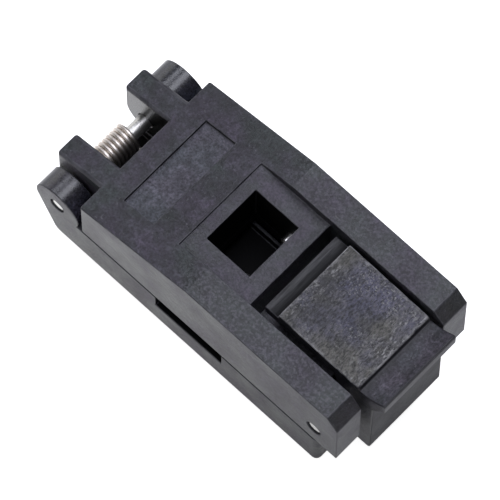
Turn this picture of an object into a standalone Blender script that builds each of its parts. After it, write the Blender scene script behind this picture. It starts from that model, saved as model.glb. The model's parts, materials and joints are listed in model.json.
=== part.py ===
"""Clamshell test socket for a sixteen lead flat package.

The socket stands on a circuit board. Its lid turns on a steel pin in the two ears of the base, and a latch
between the arms of the lid swings a leg down in front of the base. Two rows of spring contacts stand in slots
of the base, and a pusher in the lid presses the leads of the package on them.

X runs from the hinge to the latch, Y across the socket and Z up. The origin is the middle of the contact
field, on the face of the base that sits on the board.
"""

import math

import bmesh
import bpy
from mathutils import Matrix, Vector

MM = 0.001

# Clearances
GAP = 0.3 * MM
PIN_CLEARANCE = 0.08 * MM

# Package and contact field
CONTACTS_PER_SIDE = 8
PITCH = 1.27 * MM
NEST_LENGTH = 10.2 * MM
NEST_WIDTH = 7.1 * MM
NEST_DEPTH = 2.0 * MM
LAND_DEPTH = 0.75 * MM

# Contacts
CONTACT_THICKNESS = 0.3 * MM
CONTACT_WIDTH = 0.36 * MM
CONTACT_ROW = 4.85 * MM
CONTACT_PROUD = 0.35 * MM
TAIL_ROW_INNER = 5.08 * MM
TAIL_ROW_OUTER = 7.62 * MM
TAIL_LENGTH = 3.2 * MM
SLOT_FLOOR = 1.0 * MM
ARM_LEVEL = 3.2 * MM

# Base housing
WIDTH = 20.0 * MM
BASE_HEIGHT = 5.9 * MM
BASE_CORNER = 0.7 * MM
EAR_RADIUS = 3.1 * MM
EAR_WIDTH = 2.95 * MM
REAR_LEAN = math.radians(23.0)
REAR_FILLET = 1.0 * MM
SIDE_CUT_LENGTH = 9.7 * MM
SIDE_CUT_DEPTH = 2.25 * MM
SIDE_CUT_INSET = 2.2 * MM
PEG_RADIUS = 0.8 * MM
PEG_LENGTH = 2.2 * MM
PEG_SPACING = 26.0 * MM

# Lid
LID_REAR = 15.8 * MM
LID_HEIGHT = 10.0 * MM
SLOPE_RUN = 15.55 * MM
SLOPE_DROP = 3.3 * MM
ARM_FRONT = 21.6 * MM
ARM_OVERHANG = 2.65 * MM
ARM_WIDTH = 3.7 * MM
ARM_CHAMFER_RUN = 1.5 * MM
ARM_CHAMFER_DROP = 1.7 * MM
LUG_RADIUS = 3.0 * MM
NOTCH_WIDTH = 7.3 * MM
WINDOW_LENGTH = 6.2 * MM
WINDOW_WIDTH = 7.5 * MM
WINDOW_RECESS_DEPTH = 1.2 * MM
WINDOW_RECESS_REAR = 4.7 * MM
CROSS_BAR = 2.25 * MM
POCKET_FLOOR = 3.1 * MM
POCKET_FLOOR_LENGTH = 10.4 * MM
LABEL_FRONT = 8.45 * MM
LABEL_LENGTH = 4.35 * MM
LABEL_DEPTH = 0.45 * MM
CHAMBER_HEIGHT = 2.1 * MM

# Lead pusher in the lid
PUSHER_THICKNESS = 1.5 * MM
PUSHER_RIB = 1.0 * MM
PUSHER_EAR_THICKNESS = 0.9 * MM
PUSHER_PIN_RADIUS = 0.55 * MM
PUSHER_PIN_DROP = 4.3 * MM
PUSHER_PIN_SHOWING = 1.15 * MM
PUSHER_PIN_FROM_EDGE = 1.0 * MM

# Hinge and its spring
HINGE_OFFSET = 3.56 * MM
HINGE_RISE = 1.2 * MM
PIN_RADIUS = 0.9 * MM
PIN_RECESS = 0.2 * MM
LID_SPRING_WIRE = 0.54 * MM
LID_SPRING_RADIUS = 1.52 * MM
LID_SPRING_TURNS = 7.5
LID_SPRING_PITCH = 0.575 * MM
LID_SPRING_LEG = 5.0 * MM
SPRING_POCKET_FLOOR = 2.2 * MM

# Latch
LATCH_SIDE_GAP = 0.8 * MM
LATCH_OFFSET = 0.4 * MM
LATCH_PIN_SETBACK = 3.3 * MM
LATCH_PIN_RISE = 3.5 * MM
LATCH_REAR_GAP = 1.2 * MM
LATCH_LEDGE = 1.95 * MM
LEDGE_STEP = 0.85 * MM
PLATE_SETBACK = 1.65 * MM
PLATE_REAR_DROP = 0.5 * MM
PLATE_FALL = 0.55 * MM
PLATE_STEP = 0.45 * MM
PLATE_THICKNESS = 2.2 * MM
LIP_REACH = 3.8 * MM
LIP_RISE = 1.75 * MM
LIP_THICKNESS = 1.7 * MM
LIP_SETBACK = 1.85 * MM
HUB_RADIUS = 1.95 * MM
LEG_THICKNESS = 2.65 * MM
LEG_GAP = 0.45 * MM
LEG_CORNER = 0.5 * MM
NOSE_REACH = 0.78 * MM
NOSE_HEIGHT = 1.3 * MM
NOSE_BOTTOM = 0.2 * MM
NOTCH_ROOM = 0.4 * MM
LATCH_SPRING_WIRE = 0.4 * MM
LATCH_SPRING_RADIUS = 1.3 * MM
LATCH_SPRING_TURNS = 4.5
LATCH_SPRING_FROM_SIDE = 2.5 * MM
LATCH_SPRING_INSET = 2.2 * MM

# Places worked out from the sizes above
HALF_WIDTH = WIDTH / 2
BASE_FRONT = ARM_FRONT - ARM_OVERHANG
HINGE_X = -LID_REAR - HINGE_OFFSET
HINGE_Z = BASE_HEIGHT + HINGE_RISE
PIN_HOLE_RADIUS = PIN_RADIUS + PIN_CLEARANCE
LID_BOTTOM = BASE_HEIGHT + GAP
LID_TOP = LID_BOTTOM + LID_HEIGHT
SLOPE = SLOPE_DROP / SLOPE_RUN
BEND_X = -LID_REAR + SLOPE_RUN
LUG_OUTER = HALF_WIDTH - EAR_WIDTH - GAP
POCKET_HALF = HALF_WIDTH - ARM_WIDTH
LATCH_WIDTH = 2 * (POCKET_HALF - LATCH_SIDE_GAP)
WINDOW_FLOOR = LID_TOP - WINDOW_RECESS_DEPTH
POCKET_REAR = WINDOW_LENGTH / 2 + CROSS_BAR
POCKET_BOTTOM = LID_BOTTOM + POCKET_FLOOR
CHAMBER_TOP = LID_BOTTOM + CHAMBER_HEIGHT
LAND_LEVEL = BASE_HEIGHT - LAND_DEPTH
CONTACT_TOP = LAND_LEVEL + CONTACT_PROUD
SLOT_WIDTH = CONTACT_THICKNESS + 2 * GAP
FIELD_HALF = PITCH * (CONTACTS_PER_SIDE - 1) / 2
LATCH_PIN_X = ARM_FRONT - LATCH_PIN_SETBACK
LATCH_PIN_Z = BASE_HEIGHT + LATCH_PIN_RISE
LEG_REAR = BASE_FRONT + LEG_GAP
NOSE_X = LEG_REAR - NOSE_REACH
NOSE_TOP = NOSE_BOTTOM + NOSE_HEIGHT
FAR = 2 * (BASE_FRONT + LID_REAR)

ROUND_STEPS = 32


def clear_scene():
    """Remove whatever the file holds."""
    for item in list(bpy.data.objects):
        bpy.data.objects.remove(item, do_unlink=True)


def make_material(name, colour, roughness, metallic=0.0):
    """A plain Principled finish."""
    material = bpy.data.materials.new(name)
    material.use_nodes = True
    shader = material.node_tree.nodes["Principled BSDF"]
    shader.inputs["Base Color"].default_value = (*colour, 1.0)
    shader.inputs["Roughness"].default_value = roughness
    shader.inputs["Metallic"].default_value = metallic
    return material


def arc(centre_x, centre_z, radius, start, end, steps):
    """Points on an arc in a side view, from one angle to the other, in degrees."""
    points = []
    for i in range(steps + 1):
        angle = math.radians(start + (end - start) * i / steps)
        points.append((centre_x + radius * math.cos(angle), centre_z + radius * math.sin(angle)))
    return points


def link(name, mesh):
    """Put a mesh into the scene as an object of that name."""
    item = bpy.data.objects.new(name, mesh)
    bpy.context.scene.collection.objects.link(item)
    return item


def finish_mesh(name, bm):
    """Turn a bmesh into a linked object with outward faces."""
    bmesh.ops.recalc_face_normals(bm, faces=bm.faces)
    mesh = bpy.data.meshes.new(name)
    bm.to_mesh(mesh)
    bm.free()
    return link(name, mesh)


def extrude_outline(bm, corners, travel):
    """Close a list of corners with a face and draw it out along a vector."""
    face = bm.faces.new([bm.verts.new(corner) for corner in corners])
    drawn = bmesh.ops.extrude_face_region(bm, geom=[face])
    moved = [v for v in drawn["geom"] if isinstance(v, bmesh.types.BMVert)]
    bmesh.ops.translate(bm, verts=moved, vec=travel)


def side_prism(name, outline, y_low, y_high):
    """Solid with an outline in the XZ plane, drawn out along Y."""
    bm = bmesh.new()
    extrude_outline(bm, [(x, y_low, z) for x, z in outline], (0, y_high - y_low, 0))
    return finish_mesh(name, bm)


def front_prism(name, outline, x_low, x_high):
    """Solid with an outline in the YZ plane, drawn out along X."""
    bm = bmesh.new()
    extrude_outline(bm, [(x_low, y, z) for y, z in outline], (x_high - x_low, 0, 0))
    return finish_mesh(name, bm)


def block(name, x_range, y_range, z_range):
    """Solid box between two values along each axis."""
    corners = [(x_range[0], z_range[0]), (x_range[1], z_range[0]), (x_range[1], z_range[1]), (x_range[0], z_range[1])]
    return side_prism(name, corners, y_range[0], y_range[1])


def rod(name, centre, radius, length, axis="Y", chamfer=0.0):
    """Round bar about a centre, along Y or Z, with chamfered ends where asked."""
    bm = bmesh.new()
    bmesh.ops.create_cone(
        bm, cap_ends=True, segments=ROUND_STEPS, radius1=radius, radius2=radius, depth=length
    )
    if chamfer:
        rims = [e for e in bm.edges if abs(e.verts[0].co.z - e.verts[1].co.z) < chamfer / 10]
        bmesh.ops.bevel(bm, geom=rims, offset=chamfer, segments=1, affect="EDGES")
    if axis == "Y":
        bmesh.ops.rotate(bm, verts=bm.verts, matrix=Matrix.Rotation(math.pi / 2, 3, "X"))
    bmesh.ops.translate(bm, verts=bm.verts, vec=centre)
    item = finish_mesh(name, bm)
    item.data.shade_smooth()
    item.data.set_sharp_from_angle(angle=math.radians(40))
    return item


def cut(target, cutter):
    """Take the cutter's shape out of the target."""
    cutter.hide_render = True
    cutter.display_type = "WIRE"
    modifier = target.modifiers.new(cutter.name, "BOOLEAN")
    modifier.operation = "DIFFERENCE"
    modifier.solver = "EXACT"
    modifier.object = cutter


def join(target, addition):
    """Make the added shape one solid with the target."""
    addition.hide_render = True
    addition.display_type = "WIRE"
    modifier = target.modifiers.new(addition.name, "BOOLEAN")
    modifier.operation = "UNION"
    modifier.solver = "EXACT"
    modifier.object = addition


def round_upright_edges(item, radius, chosen, segments=4):
    """Round the upright edges whose corner point the chooser accepts."""
    bm = bmesh.new()
    bm.from_mesh(item.data)
    edges = []
    for edge in bm.edges:
        a, b = edge.verts
        if (a.co - b.co).to_2d().length < GAP / 10 and chosen(a.co):
            edges.append(edge)
    bmesh.ops.bevel(bm, geom=edges, offset=radius, segments=segments, profile=0.5, affect="EDGES")
    bm.to_mesh(item.data)
    bm.free()


def wire(name, points, radius):
    """Round wire along a list of points, with closed ends."""
    curve = bpy.data.curves.new(name, "CURVE")
    curve.dimensions = "3D"
    curve.bevel_depth = radius
    curve.bevel_resolution = 1
    curve.use_fill_caps = True
    spline = curve.splines.new("POLY")
    spline.points.add(len(points) - 1)
    for point, place in zip(spline.points, points):
        point.co = (*place, 1.0)
    item = bpy.data.objects.new(name, curve)
    bpy.context.scene.collection.objects.link(item)
    return item


def slope_level(x):
    """Height of the lid's outer face at a place along its sloped rear half."""
    return LID_TOP - max(0.0, BEND_X - x) * SLOPE


def base_outline():
    """Side view of the base with its ear: flat underside, upright front, leaning rear."""
    lean_x = -math.cos(REAR_LEAN)
    lean_z = -math.sin(REAR_LEAN)
    touch_x = HINGE_X + EAR_RADIUS * lean_x
    touch_z = HINGE_Z + EAR_RADIUS * lean_z
    foot_x = touch_x + touch_z * math.tan(REAR_LEAN)
    rise = REAR_FILLET + REAR_FILLET * lean_z
    centre_x = foot_x - rise * math.tan(REAR_LEAN) + REAR_FILLET * math.cos(REAR_LEAN)
    lean = math.degrees(REAR_LEAN)
    ear_start = -math.degrees(math.asin(HINGE_RISE / EAR_RADIUS))
    points = [(BASE_FRONT, 0.0), (BASE_FRONT, BASE_HEIGHT)]
    points += arc(HINGE_X, HINGE_Z, EAR_RADIUS, ear_start, 180 + lean, 36)
    points += arc(centre_x, REAR_FILLET, REAR_FILLET, 180 + lean, 270, 4)
    return points


def contact_places():
    """X of each contact in a row."""
    return [-FIELD_HALF + PITCH * i for i in range(CONTACTS_PER_SIDE)]


def tail_row(index):
    """Tails alternate between two rows, so that the board's holes aren't crowded."""
    return TAIL_ROW_INNER if index % 2 == 0 else TAIL_ROW_OUTER


def slot_outer():
    """Outer end of a contact slot, past the tail of the outer row."""
    return TAIL_ROW_OUTER + CONTACT_WIDTH / 2 + GAP


def slot_inner():
    """Inner end of a contact slot, past the tip of the contact."""
    return CONTACT_ROW - tip_radius() - CONTACT_WIDTH / 2 - GAP


def tip_radius():
    """Bend radius of the contact's tip, along the middle of the strip."""
    return CONTACT_WIDTH


def make_base(plastic):
    """Base housing: ears, nest, lead lands, contact slots, side cut-outs, latch recess and board pegs."""
    base = side_prism("base_housing", base_outline(), -HALF_WIDTH, HALF_WIDTH)
    round_upright_edges(base, BASE_CORNER, lambda p: p.x > BASE_FRONT - GAP)
    ear_inner = HALF_WIDTH - EAR_WIDTH
    sweep = LUG_RADIUS + GAP
    room = [(-FAR, HINGE_Z + FAR), (-FAR, HINGE_Z - sweep)]
    room += arc(HINGE_X, HINGE_Z, sweep, 270, 360, 14)
    room += [(HINGE_X + sweep, HINGE_Z + FAR)]
    cut(base, side_prism("lug_clearance", room, -ear_inner, ear_inner))
    cut(base, rod("ear_hole", (HINGE_X, 0, HINGE_Z), PIN_HOLE_RADIUS, WIDTH * 2))
    nest_floor = BASE_HEIGHT - NEST_DEPTH
    nest_x = (-NEST_LENGTH / 2, NEST_LENGTH / 2)
    cut(base, block("lead_land", nest_x, (-slot_outer(), slot_outer()), (LAND_LEVEL, FAR)))
    cut(base, block("nest", nest_x, (-NEST_WIDTH / 2, NEST_WIDTH / 2), (nest_floor, FAR)))
    side_x = (-SIDE_CUT_LENGTH / 2, SIDE_CUT_LENGTH / 2)
    side_z = (BASE_HEIGHT - SIDE_CUT_DEPTH, FAR)
    for side, label in ((-1, "left"), (1, "right")):
        y_range = sorted((side * (HALF_WIDTH - SIDE_CUT_INSET), side * FAR))
        cut(base, block("side_cut_" + label, side_x, y_range, side_z))
        for index, x in enumerate(contact_places()):
            x_range = (x - SLOT_WIDTH / 2, x + SLOT_WIDTH / 2)
            y_range = sorted((side * slot_inner(), side * slot_outer()))
            cut(base, block(f"slot_{label}_{index + 1}", x_range, y_range, (SLOT_FLOOR, FAR)))
            half = CONTACT_WIDTH / 2 + GAP
            y_range = sorted((side * (tail_row(index) - half), side * (tail_row(index) + half)))
            cut(base, block(f"tail_hole_{label}_{index + 1}", x_range, y_range, (-GAP, SLOT_FLOOR + GAP)))
    cut_latch_recess(base)
    cut_spring_seat(base)
    for place, label in ((-PEG_SPACING / 2, "rear"), (PEG_SPACING / 2, "front")):
        peg = rod("board_peg_" + label, (place, 0, GAP - PEG_LENGTH / 2), PEG_RADIUS, PEG_LENGTH + 2 * GAP, "Z")
        join(base, peg)
    base.data.materials.append(plastic)
    return base


def catch_radius():
    """Distance from the hinge to the face that the hook passes as the lid opens."""
    return math.hypot(NOSE_X - HINGE_X, NOSE_TOP - HINGE_Z) - GAP


def cut_latch_recess(base):
    """Recess for the hook in the front of the base. Its upper face follows an arc about the hinge."""
    side = LATCH_WIDTH / 2 + GAP
    y_low = LATCH_OFFSET - side
    y_high = LATCH_OFFSET + side
    sill = NOSE_TOP + NOTCH_ROOM
    radius = catch_radius()
    low = math.degrees(math.asin((sill - HINGE_Z) / radius))
    high = math.degrees(math.asin((BASE_HEIGHT + GAP - HINGE_Z) / radius))
    face = arc(HINGE_X, HINGE_Z, radius, low, high, 6)
    face += [(FAR, BASE_HEIGHT + GAP), (FAR, sill)]
    cut(base, side_prism("catch_face", face, y_low, y_high))
    floor_x = NOSE_X - NOTCH_ROOM
    mouth = [(floor_x, -FAR), (floor_x, sill - NOTCH_ROOM / 2), (face[0][0], sill), (FAR, sill), (FAR, -FAR)]
    cut(base, side_prism("hook_notch", mouth, y_low, y_high))


def spring_start():
    """Y of the first turn of the lid spring, beside the near lug."""
    return -NOTCH_WIDTH / 2 + GAP + LID_SPRING_WIRE / 2


def spring_end():
    """Y of the last turn of the lid spring."""
    return spring_start() + LID_SPRING_TURNS * LID_SPRING_PITCH


def cut_spring_seat(base):
    """Pocket under the lid spring, and a slot in front of it for the spring's lower leg."""
    pocket_x = (-FAR, -LID_REAR - GAP)
    cut(base, block("spring_pocket", pocket_x, (-NOTCH_WIDTH / 2, NOTCH_WIDTH / 2), (SPRING_POCKET_FLOOR, FAR)))
    half = LID_SPRING_WIRE / 2 + GAP
    level = HINGE_Z - LID_SPRING_RADIUS
    x_range = (HINGE_X, HINGE_X + LID_SPRING_LEG + GAP)
    y_range = (spring_end() - half, spring_end() + half)
    cut(base, block("spring_seat", x_range, y_range, (level - half, FAR)))


def lid_outline():
    """Side view of the lid: round lugs, sloped rear half, flat front half and chamfered nose."""
    rear_x = HINGE_X - LUG_RADIUS
    lug_end = 360 - math.degrees(math.asin((HINGE_Z - LID_BOTTOM) / LUG_RADIUS))
    points = [(rear_x, slope_level(rear_x))]
    points += arc(HINGE_X, HINGE_Z, LUG_RADIUS, 180, lug_end, 18)
    points += [
        (ARM_FRONT, LID_BOTTOM),
        (ARM_FRONT, LID_TOP - ARM_CHAMFER_DROP),
        (ARM_FRONT - ARM_CHAMFER_RUN, LID_TOP),
        (BEND_X, LID_TOP),
    ]
    return points


def make_lid(plastic):
    """Lid: one moulding with two lugs, a window, a label recess and two arms around the latch pocket."""
    lid = side_prism("lid_cover", lid_outline(), -HALF_WIDTH, HALF_WIDTH)
    for side, label in ((-1, "left"), (1, "right")):
        y_range = sorted((side * LUG_OUTER, side * FAR))
        cut(lid, block("ear_room_" + label, (-FAR, -LID_REAR), y_range, (-FAR, FAR)))
    cut(lid, block("lug_notch", (-FAR, -LID_REAR), (-NOTCH_WIDTH / 2, NOTCH_WIDTH / 2), (-FAR, FAR)))
    cut(lid, rod("lug_hole", (HINGE_X, 0, HINGE_Z), PIN_HOLE_RADIUS, WIDTH * 2))
    window_x = (-WINDOW_LENGTH / 2, WINDOW_LENGTH / 2)
    window_y = (-WINDOW_WIDTH / 2, WINDOW_WIDTH / 2)
    recess_x = (-WINDOW_RECESS_REAR, POCKET_REAR + GAP)
    cut(lid, block("window_recess", recess_x, (-POCKET_HALF, POCKET_HALF), (WINDOW_FLOOR, FAR)))
    cut(lid, block("window", window_x, window_y, (-FAR, FAR)))
    cut(lid, block("latch_pocket", (POCKET_REAR, FAR), (-POCKET_HALF, POCKET_HALF), (POCKET_BOTTOM, FAR)))
    floor_end = POCKET_REAR + POCKET_FLOOR_LENGTH
    cut(lid, block("leg_opening", (floor_end, FAR), (-POCKET_HALF, POCKET_HALF), (-FAR, FAR)))
    chamber_x = (-pusher_half_length() - GAP, pusher_half_length() + GAP)
    chamber_y = (-pusher_half_width() - GAP, pusher_half_width() + GAP)
    cut(lid, block("pusher_chamber", chamber_x, chamber_y, (-FAR, CHAMBER_TOP)))
    cut_pusher_pockets(lid)
    cut(lid, label_cutter())
    cut(lid, rod("arm_hole", (LATCH_PIN_X, 0, LATCH_PIN_Z), PIN_HOLE_RADIUS, WIDTH * 2))
    cut_lid_spring_slot(lid)
    for side, label in ((-1, "left"), (1, "right")):
        join(lid, spring_boss(side, label))
    lid.data.materials.append(plastic)
    return lid


def label_cutter():
    """Shallow recess for the marking, parallel to the sloped face."""
    front_x = -LABEL_FRONT
    rear_x = front_x - LABEL_LENGTH
    outline = [
        (rear_x, slope_level(rear_x) - LABEL_DEPTH),
        (front_x, slope_level(front_x) - LABEL_DEPTH),
        (front_x, slope_level(front_x) + LABEL_DEPTH),
        (rear_x, slope_level(rear_x) + LABEL_DEPTH),
    ]
    return side_prism("label_recess", outline, -POCKET_HALF, POCKET_HALF)


def cut_lid_spring_slot(lid):
    """Slot in the rear face of the lid for the upper leg of the lid spring."""
    half = LID_SPRING_WIRE / 2 + GAP
    level = HINGE_Z + LID_SPRING_RADIUS
    x_range = (-LID_REAR - GAP, HINGE_X + LID_SPRING_LEG + GAP)
    y_range = (spring_start() - half, spring_start() + half)
    cut(lid, block("lid_spring_slot", x_range, y_range, (level - half, level + half)))


def latch_spring_places():
    """X and Y of the two springs under the rear of the latch plate."""
    x = POCKET_REAR + LATCH_REAR_GAP + LATCH_SPRING_INSET
    reach = LATCH_WIDTH / 2 - LATCH_SPRING_FROM_SIDE
    return x, (LATCH_OFFSET - reach, LATCH_OFFSET + reach)


def spring_boss(side, label):
    """Short post on the pocket floor that keeps a latch spring in place."""
    x, rows = latch_spring_places()
    y = rows[0] if side < 0 else rows[1]
    radius = LATCH_SPRING_RADIUS - LATCH_SPRING_WIRE / 2 - GAP
    height = 2 * radius
    return rod("spring_boss_" + label, (x, y, POCKET_BOTTOM + height / 2 - GAP), radius, height + 2 * GAP, "Z")


def pusher_half_length():
    """Half the length of the pusher: it covers the lead lands."""
    return NEST_LENGTH / 2 + 2 * GAP


def pusher_half_width():
    """Half the width of the pusher: it reaches past the contact arms."""
    return slot_outer() - GAP


def pusher_pin_x():
    """Place of the pusher pins, just behind the front edge of the window."""
    return WINDOW_LENGTH / 2 - PUSHER_PIN_FROM_EDGE


def pusher_pin_z():
    """Level of the pusher pins, below the floor of the window recess."""
    return WINDOW_FLOOR - PUSHER_PIN_DROP


def pusher_ear_range(side):
    """Y of the two faces of a pusher ear, which stands in a pocket beside the window."""
    near = WINDOW_WIDTH / 2 + 2 * GAP
    return sorted((side * near, side * (near + PUSHER_EAR_THICKNESS)))


def pusher_ear_radius():
    """Outer radius of the ear around its pin hole."""
    return PUSHER_PIN_RADIUS + PIN_CLEARANCE + 2 * GAP


def cut_pusher_pockets(lid):
    """Pockets for the pusher ears and the holes for their pins."""
    half = pusher_ear_radius() + GAP
    x_range = (pusher_pin_x() - half, pusher_pin_x() + half)
    for side, label in ((-1, "left"), (1, "right")):
        low, high = pusher_ear_range(side)
        y_range = (low - GAP, high + GAP)
        cut(lid, block("ear_pocket_" + label, x_range, y_range, (LID_BOTTOM, pusher_pin_z() + half)))
    hole_reach = WINDOW_WIDTH + 2 * (PUSHER_EAR_THICKNESS + 6 * GAP)
    centre = (pusher_pin_x(), 0, pusher_pin_z())
    cut(lid, rod("pusher_pin_hole", centre, PUSHER_PIN_RADIUS + PIN_CLEARANCE, hole_reach))


def make_pusher(plastic):
    """Frame that presses the leads: two ribs below, a window, and two ears that hang on pins."""
    top = CHAMBER_TOP - GAP
    bottom = top - PUSHER_THICKNESS
    x_range = (-pusher_half_length(), pusher_half_length())
    y_range = (-pusher_half_width(), pusher_half_width())
    pusher = block("lead_pusher", x_range, y_range, (bottom, top))
    window_x = (-WINDOW_LENGTH / 2, WINDOW_LENGTH / 2)
    window_y = (-WINDOW_WIDTH / 2, WINDOW_WIDTH / 2)
    cut(pusher, block("pusher_window", window_x, window_y, (-FAR, FAR)))
    rib_x = (-FIELD_HALF - CONTACT_THICKNESS, FIELD_HALF + CONTACT_THICKNESS)
    radius = pusher_ear_radius()
    for side, label in ((-1, "left"), (1, "right")):
        rib_y = (side * CONTACT_ROW - PUSHER_RIB / 2, side * CONTACT_ROW + PUSHER_RIB / 2)
        join(pusher, block("rib_" + label, rib_x, rib_y, (CONTACT_TOP + GAP, bottom + GAP)))
        outline = [(pusher_pin_x() + radius, top - GAP)]
        outline += arc(pusher_pin_x(), pusher_pin_z(), radius, 0, 180, 12)
        outline += [(pusher_pin_x() - radius, top - GAP)]
        low, high = pusher_ear_range(side)
        join(pusher, side_prism("pusher_ear_" + label, outline, low, high))
    centre = (pusher_pin_x(), 0, pusher_pin_z())
    cut(pusher, rod("pusher_ear_hole", centre, PUSHER_PIN_RADIUS + PIN_CLEARANCE, WIDTH * 2))
    pusher.data.materials.append(plastic)
    return pusher


def make_pusher_pin(side, label, steel):
    """Steel stub through a pusher ear. Its inner end shows in the window."""
    inner = WINDOW_WIDTH / 2 - PUSHER_PIN_SHOWING
    outer = WINDOW_WIDTH / 2 + PUSHER_EAR_THICKNESS + 4 * GAP
    centre = (pusher_pin_x(), side * (inner + outer) / 2, pusher_pin_z())
    pin = rod("pusher_pin_" + label, centre, PUSHER_PIN_RADIUS, outer - inner, "Y", PUSHER_PIN_RADIUS / 5)
    pin.data.materials.append(steel)
    return pin


def latch_outline():
    """Side view of the latch: rear ledge, pressing plate, raised lip, leg with its hook, and hub."""
    rear_x = POCKET_REAR + LATCH_REAR_GAP
    plate_x = rear_x + LATCH_LEDGE
    plate_end = ARM_FRONT - PLATE_SETBACK
    plate_z = LID_TOP - PLATE_REAR_DROP
    under_z = plate_z - PLATE_THICKNESS
    front_z = plate_z - PLATE_FALL
    step_z = front_z - PLATE_STEP
    lip_x = plate_end + LIP_REACH
    leg_front = LEG_REAR + LEG_THICKNESS
    lip_low = step_z + LIP_RISE - LIP_THICKNESS
    points = [(rear_x, under_z), (rear_x, plate_z - LEDGE_STEP), (plate_x, plate_z - LEDGE_STEP)]
    points += [(plate_x, plate_z), (plate_end, front_z), (plate_end + PLATE_STEP / 2, step_z)]
    points += lip_curve(plate_end + PLATE_STEP / 2, step_z, lip_x - PLATE_STEP / 2)
    points += [(lip_x, step_z + LIP_RISE - PLATE_STEP / 2), (lip_x, lip_low)]
    points += [(leg_front, lip_low - LIP_SETBACK * 1.35), (leg_front, NOSE_BOTTOM + LEG_CORNER)]
    points += arc(leg_front - LEG_CORNER, NOSE_BOTTOM + LEG_CORNER, LEG_CORNER, 0, -90, 3)[1:]
    points += [(NOSE_X + NOSE_HEIGHT / 3, NOSE_BOTTOM), (NOSE_X, NOSE_BOTTOM + NOSE_HEIGHT / 2)]
    points += [(NOSE_X, NOSE_TOP), (LEG_REAR, NOSE_TOP + NOSE_REACH / 2)]
    hub_start = -math.degrees(math.acos((LEG_REAR - LATCH_PIN_X) / HUB_RADIUS))
    points += arc(LATCH_PIN_X, LATCH_PIN_Z, HUB_RADIUS, hub_start, -240, 16)
    points += [(LATCH_PIN_X - HUB_RADIUS, under_z)]
    return points


def lip_curve(x_start, z_start, x_end):
    """Hollow rise of the lip, as a quarter of a sine, from the step in front of the plate."""
    points = []
    for i in range(1, 7):
        share = i / 6
        points.append((x_start + (x_end - x_start) * share, z_start + LIP_RISE * share**2))
    return points


def make_latch(plastic):
    """Latch: one moulding between the arms of the lid."""
    low = LATCH_OFFSET - LATCH_WIDTH / 2
    high = LATCH_OFFSET + LATCH_WIDTH / 2
    latch = side_prism("latch", latch_outline(), low, high)
    leg_front = LEG_REAR + LEG_THICKNESS
    round_upright_edges(latch, LEG_CORNER, lambda p: abs(p.x - leg_front) < GAP / 10)
    cut(latch, rod("latch_hole", (LATCH_PIN_X, 0, LATCH_PIN_Z), PIN_HOLE_RADIUS, WIDTH * 2))
    latch.data.materials.append(plastic)
    return latch


def make_pin(name, x, z, steel):
    """Steel pin across the whole socket, its ends a little below the sides."""
    pin = rod(name, (x, 0, z), PIN_RADIUS, WIDTH - 2 * PIN_RECESS, "Y", PIN_RADIUS / 6)
    pin.data.materials.append(steel)
    return pin


def make_lid_spring(steel):
    """Torsion spring: a leg in the lid, close turns around the hinge pin, and a leg in the base."""
    steps = 14
    radius = LID_SPRING_RADIUS
    turns = LID_SPRING_TURNS
    count = int(turns * steps)
    points = [(HINGE_X + LID_SPRING_LEG, spring_start(), HINGE_Z + radius)]
    for i in range(count + 1):
        angle = math.pi / 2 + 2 * math.pi * turns * i / count
        y = spring_start() + (spring_end() - spring_start()) * i / count
        points.append((HINGE_X + radius * math.cos(angle), y, HINGE_Z + radius * math.sin(angle)))
    points.append((HINGE_X + LID_SPRING_LEG, spring_end(), HINGE_Z - radius))
    spring = wire("lid_spring", points, LID_SPRING_WIRE / 2)
    spring.data.materials.append(steel)
    return spring


def make_latch_spring(name, y, steel):
    """Compression spring between the pocket floor and the underside of the latch plate."""
    steps = 12
    x, _ = latch_spring_places()
    low = POCKET_BOTTOM + GAP + LATCH_SPRING_WIRE / 2
    high = LID_TOP - PLATE_REAR_DROP - PLATE_THICKNESS - GAP - LATCH_SPRING_WIRE / 2
    count = int(LATCH_SPRING_TURNS * steps)
    points = []
    for i in range(count + 1):
        share = i / count
        angle = 2 * math.pi * LATCH_SPRING_TURNS * share
        climb = min(1.0, max(0.0, (share * LATCH_SPRING_TURNS - 0.5) / (LATCH_SPRING_TURNS - 1.0)))
        z = low + (high - low) * climb
        points.append((x + LATCH_SPRING_RADIUS * math.cos(angle), y + LATCH_SPRING_RADIUS * math.sin(angle), z))
    spring = wire(name, points, LATCH_SPRING_WIRE / 2)
    spring.data.materials.append(steel)
    return spring


def ribbon(path, width):
    """Outline of a strip of even width along a path."""
    left = []
    right = []
    for i, (y, z) in enumerate(path):
        before = Vector(path[max(i - 1, 0)])
        after = Vector(path[min(i + 1, len(path) - 1)])
        along = (after - before).normalized()
        across = Vector((-along.y, along.x)) * width / 2
        left.append((y + across.x, z + across.y))
        right.append((y - across.x, z - across.y))
    return left + right[::-1]


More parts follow.
